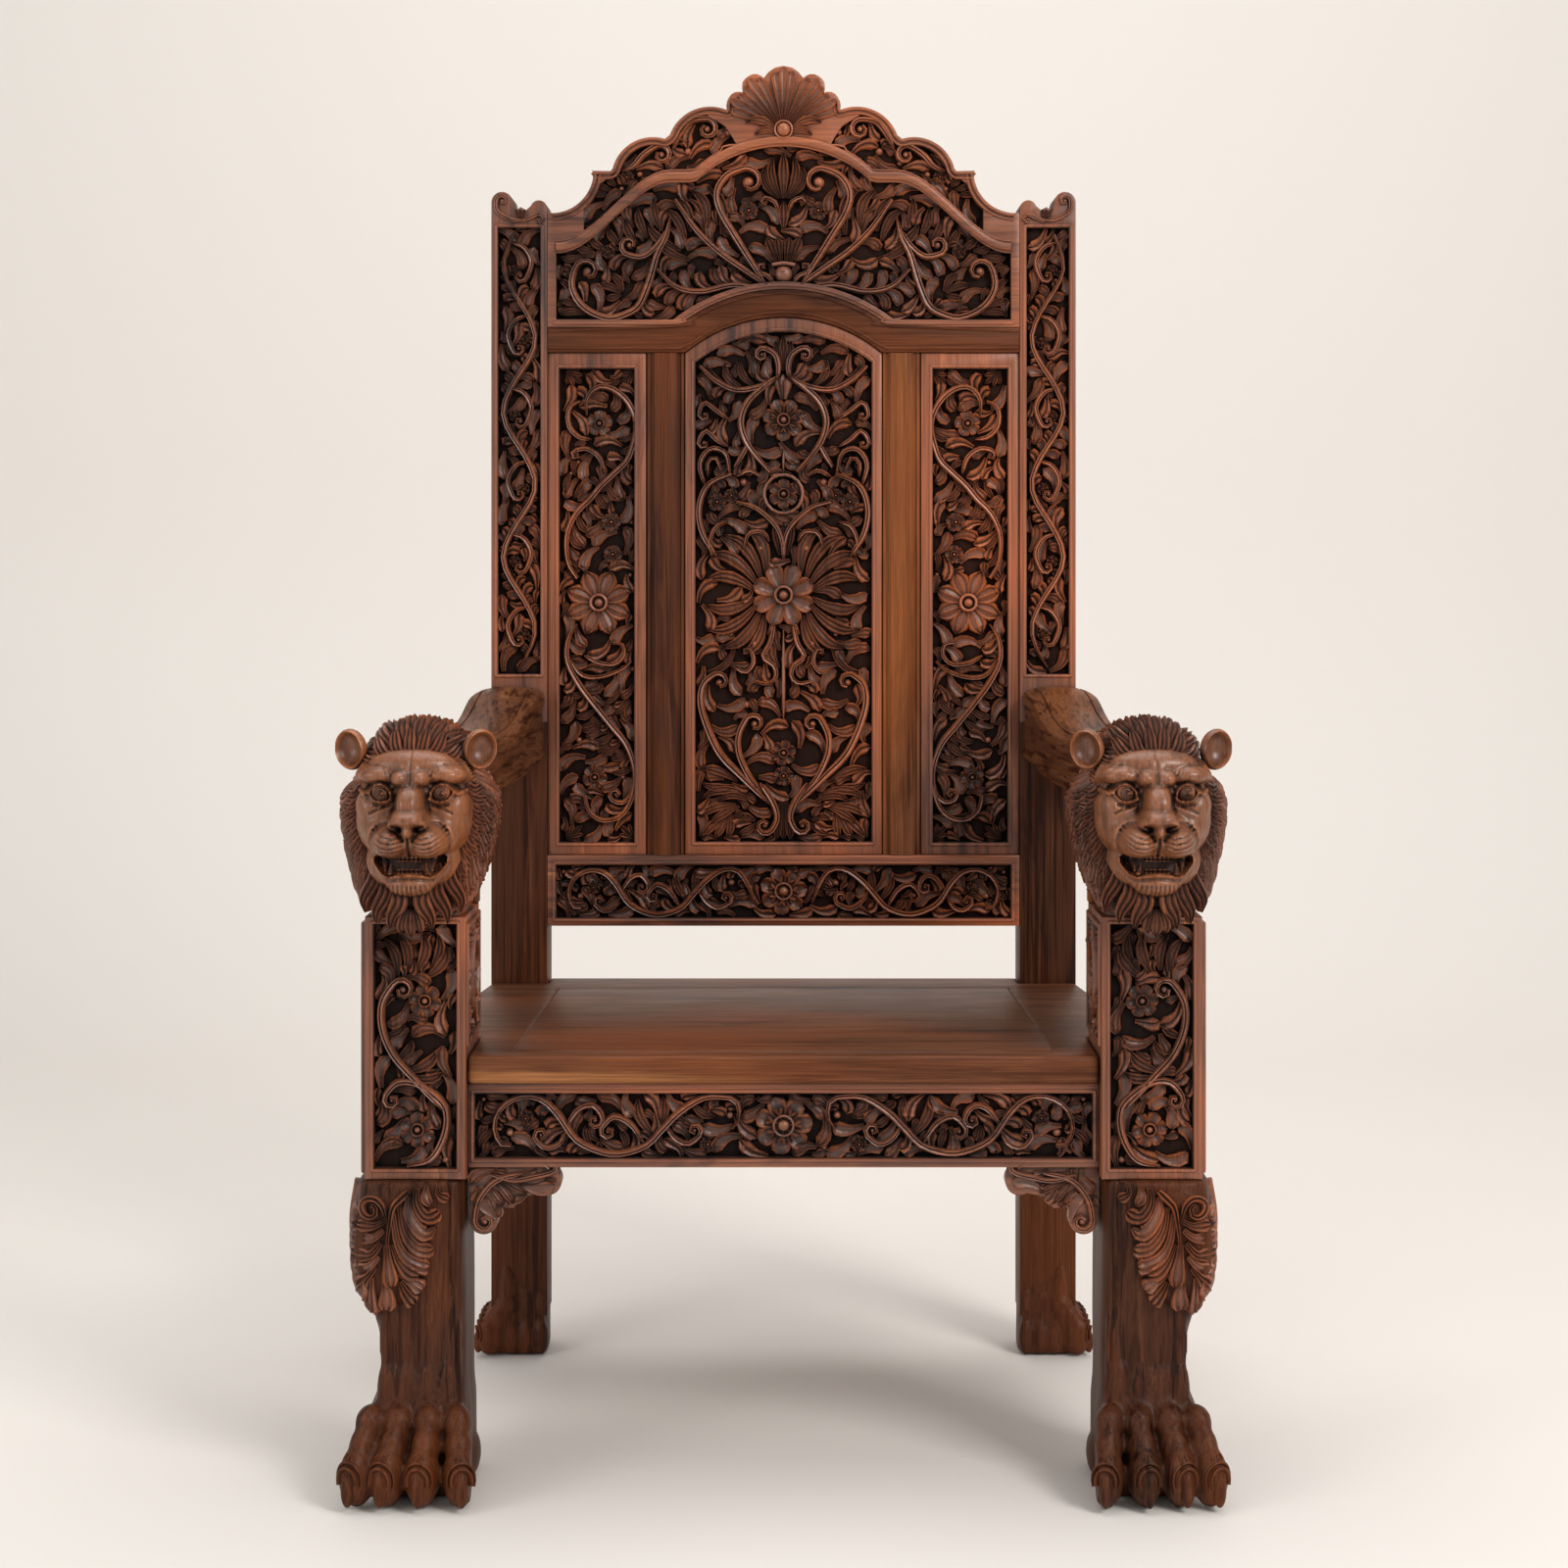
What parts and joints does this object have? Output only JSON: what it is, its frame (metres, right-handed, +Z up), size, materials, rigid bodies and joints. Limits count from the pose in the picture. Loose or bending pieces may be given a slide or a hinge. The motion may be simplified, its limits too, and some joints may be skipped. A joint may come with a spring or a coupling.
{
  "type": "throne",
  "caption": "High-backed carved wooden throne with a scalloped shell crest, panelled back, lion-head arms and clawed paw feet.",
  "frame": {"origin": "on the floor, under the middle of the throne", "axes": "+Z up, the sitter faces -Y, +X towards the sitter's left hand"},
  "size_m": [0.9701, 0.6983, 1.6284],
  "materials": {
    "carved_wood": "oiled rosewood, satin sheen, dark in the carved grounds",
    "plain_wood": "polished rosewood with dark figure and long straight grain",
    "seat_wood": "polished plank with golden sapwood along the front edge",
    "lion_wood": "smoothly finished face with darker carved mane"
  },
  "bodies": {
    "root": {"arched_mid_rail": "plain_wood", "bottom_rail": "carved_wood", "centre_panel": "carved_wood", "crest_rail": "carved_wood", "front_apron": "carved_wood", "left_apron": "carved_wood", "left_arm": "plain_wood", "left_bracket": "carved_wood", "left_front_leg": "carved_wood", "left_front_post": "carved_wood", "left_lion_head": "lion_wood", "left_muntin": "plain_wood", "left_panel": "carved_wood", "left_stile_and_rear_leg": "carved_wood", "rear_apron": "plain_wood", "right_apron": "carved_wood", "right_arm": "plain_wood", "right_bracket": "carved_wood", "right_front_leg": "carved_wood", "right_front_post": "carved_wood", "right_lion_head": "lion_wood", "right_muntin": "plain_wood", "right_panel": "carved_wood", "right_stile_and_rear_leg": "carved_wood", "seat_frame": "seat_wood", "seat_panel": "seat_wood"}
  },
  "joints": []
}
